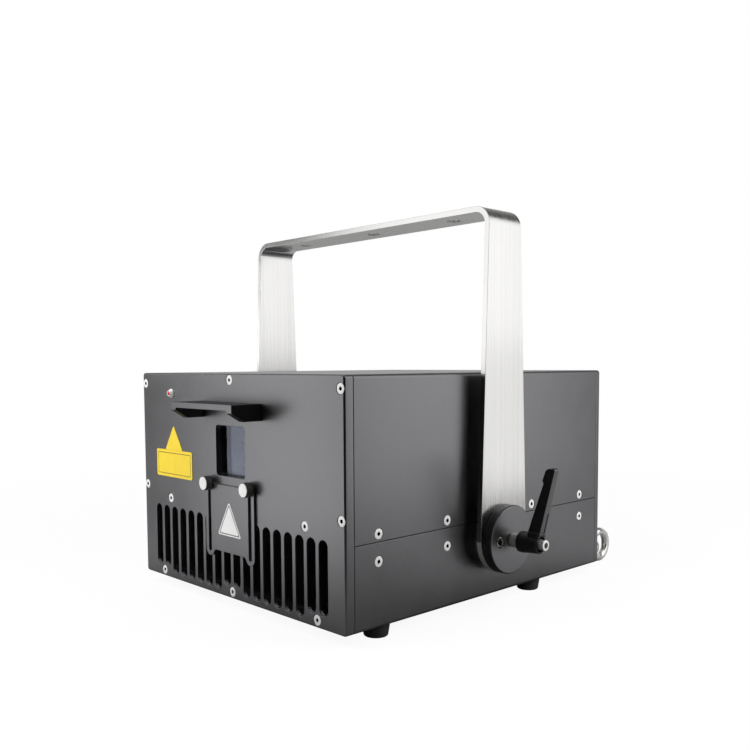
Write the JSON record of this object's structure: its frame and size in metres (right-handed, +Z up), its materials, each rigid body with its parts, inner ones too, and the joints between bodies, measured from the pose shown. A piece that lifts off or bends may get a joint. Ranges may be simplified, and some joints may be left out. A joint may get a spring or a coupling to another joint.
{
  "type": "laser show projector",
  "caption": "Box-shaped laser show projector in a tilting stirrup yoke with clamp levers, hooded beam aperture, sliding beam mask, front and rear vents and a safety eye.",
  "frame": {"origin": "middle of the overall footprint, on the floor under the feet", "axes": "+Z up, -Y out of the front plate, +X to the side that carries the safety eye"},
  "size_m": [0.441, 0.4172, 0.3535],
  "materials": {
    "black_anodised": "fine matt black anodised",
    "bare_aluminium": "satin milled",
    "brushed_yoke": "brushed lengthwise, clear anodised",
    "bright_steel": "bright zinc",
    "black_steel": "black oxide",
    "chrome": "polished",
    "black_rubber": "matt",
    "black_plastic": "fine grained",
    "clear_glass": "clear",
    "red_lens": "clear red",
    "yellow_film": "satin film",
    "front_mirror": "front silvered",
    "circuit_board": "solder masked board",
    "galvanised": "zinc plated sheet"
  },
  "bodies": {
    "housing": {"front_plate": "black_anodised", "rear_plate": "black_anodised", "top_cover": "black_anodised", "base_tray": "black_anodised", "optical_bench": "bare_aluminium", "heat_sink": "black_anodised", "front_screws": "bright_steel", "rear_screws": "bright_steel", "side_screws": "bright_steel", "rubber_feet": "black_rubber", "foot_screws": "bright_steel", "aperture_hood": "black_anodised", "inner_screws": "black_steel", "aperture_glass": "clear_glass", "glass_retainer": "black_anodised", "led_bezel": "chrome", "led_lens": "red_lens", "label_plate": "yellow_film", "safety_eye": "chrome", "red_laser": "bare_aluminium", "green_laser": "bare_aluminium", "blue_laser": "bare_aluminium", "mirror_mounts": "black_anodised", "beam_mirrors": "front_mirror", "scanner_block": "bare_aluminium", "galvo_motor_x": "black_anodised", "galvo_motor_y": "black_anodised", "scanner_driver": "circuit_board", "laser_driver": "circuit_board", "control_board": "circuit_board", "power_supply": "galvanised", "fan_frame_left": "black_plastic", "fan_frame_right": "black_plastic", "power_inlet": "black_plastic", "key_lock": "chrome", "data_sockets": "galvanised", "signal_sockets": "black_steel", "pivot_hub_left": "black_anodised", "pivot_hub_right": "black_anodised"},
    "yoke_assembly": {"yoke": "brushed_yoke", "friction_ring_left": "black_anodised", "friction_ring_right": "black_anodised", "clamp_disc_left": "black_anodised", "clamp_disc_right": "black_anodised", "disc_screws": "black_steel"},
    "stud_left": {"clamp_stud_left": "black_steel", "lever_screw_left": "bright_steel"},
    "stud_right": {"clamp_stud_right": "black_steel", "lever_screw_right": "bright_steel"},
    "handle_left": {"lever_handle_left": "black_plastic"},
    "handle_right": {"lever_handle_right": "black_plastic"},
    "mask": {"beam_mask": "black_anodised"},
    "thumb_left": {"thumb_screw_left": "bare_aluminium"},
    "thumb_right": {"thumb_screw_right": "bare_aluminium"},
    "scan_x": {"galvo_mirror_x": "front_mirror"},
    "scan_y": {"galvo_mirror_y": "front_mirror"},
    "rotor_left": {"fan_rotor_left": "black_plastic"},
    "rotor_right": {"fan_rotor_right": "black_plastic"},
    "rocker": {"power_rocker": "black_plastic"},
    "key": {"switch_key": "chrome"}
  },
  "joints": [
    {"name": "yoke_tilt", "type": "hinge", "parent": "housing", "child": "yoke_assembly", "pos_m": [0, -0.003, 0.064], "axis": [1, 0, 0], "continuous": true},
    {"name": "clamp_turn_left", "type": "hinge", "parent": "housing", "child": "stud_left", "pos_m": [-0.1522, -0.003, 0.064], "axis": [1, 0, 0], "continuous": true},
    {"name": "clamp_turn_right", "type": "hinge", "parent": "housing", "child": "stud_right", "pos_m": [0.1522, -0.003, 0.064], "axis": [1, 0, 0], "continuous": true},
    {"name": "lever_lift_left", "type": "slide", "parent": "stud_left", "child": "handle_left", "axis": [-1, 0, 0], "range_m": [0, 0.004], "stiffness_N_per_m": 1500, "springref_m": -0.002},
    {"name": "lever_lift_right", "type": "slide", "parent": "stud_right", "child": "handle_right", "axis": [1, 0, 0], "range_m": [0, 0.004], "stiffness_N_per_m": 1500, "springref_m": -0.002},
    {"name": "mask_slide", "type": "slide", "parent": "housing", "child": "mask", "axis": [0, 0, 1], "range_m": [0, 0.06]},
    {"name": "thumb_turn_left", "type": "hinge", "parent": "housing", "child": "thumb_left", "pos_m": [-0.0311, -0.17865, 0.1122], "axis": [0, -1, 0], "continuous": true},
    {"name": "thumb_turn_right", "type": "hinge", "parent": "housing", "child": "thumb_right", "pos_m": [0.0311, -0.17865, 0.1122], "axis": [0, -1, 0], "continuous": true},
    {"name": "scan_turn_x", "type": "hinge", "parent": "housing", "child": "scan_x", "pos_m": [0, -0.13965, 0.1565], "axis": [0, 1, 0], "range_deg": [-15, 15], "stiffness_Nm_per_rad": 0.002},
    {"name": "scan_turn_y", "type": "hinge", "parent": "housing", "child": "scan_y", "pos_m": [0, -0.13965, 0.1425], "axis": [1, 0, 0], "range_deg": [-15, 15], "stiffness_Nm_per_rad": 0.002},
    {"name": "fan_spin_left", "type": "hinge", "parent": "housing", "child": "rotor_left", "pos_m": [-0.065, 0.15415, 0.051], "axis": [0, 1, 0], "continuous": true},
    {"name": "fan_spin_right", "type": "hinge", "parent": "housing", "child": "rotor_right", "pos_m": [0.065, 0.15415, 0.051], "axis": [0, 1, 0], "continuous": true},
    {"name": "rocker_tilt", "type": "hinge", "parent": "housing", "child": "rocker", "pos_m": [0.112, 0.17215, 0.167], "axis": [1, 0, 0], "range_deg": [-8, 8]},
    {"name": "key_turn", "type": "hinge", "parent": "housing", "child": "key", "pos_m": [0.06, 0.17265, 0.166], "axis": [0, 1, 0], "range_deg": [0, 90]}
  ]
}
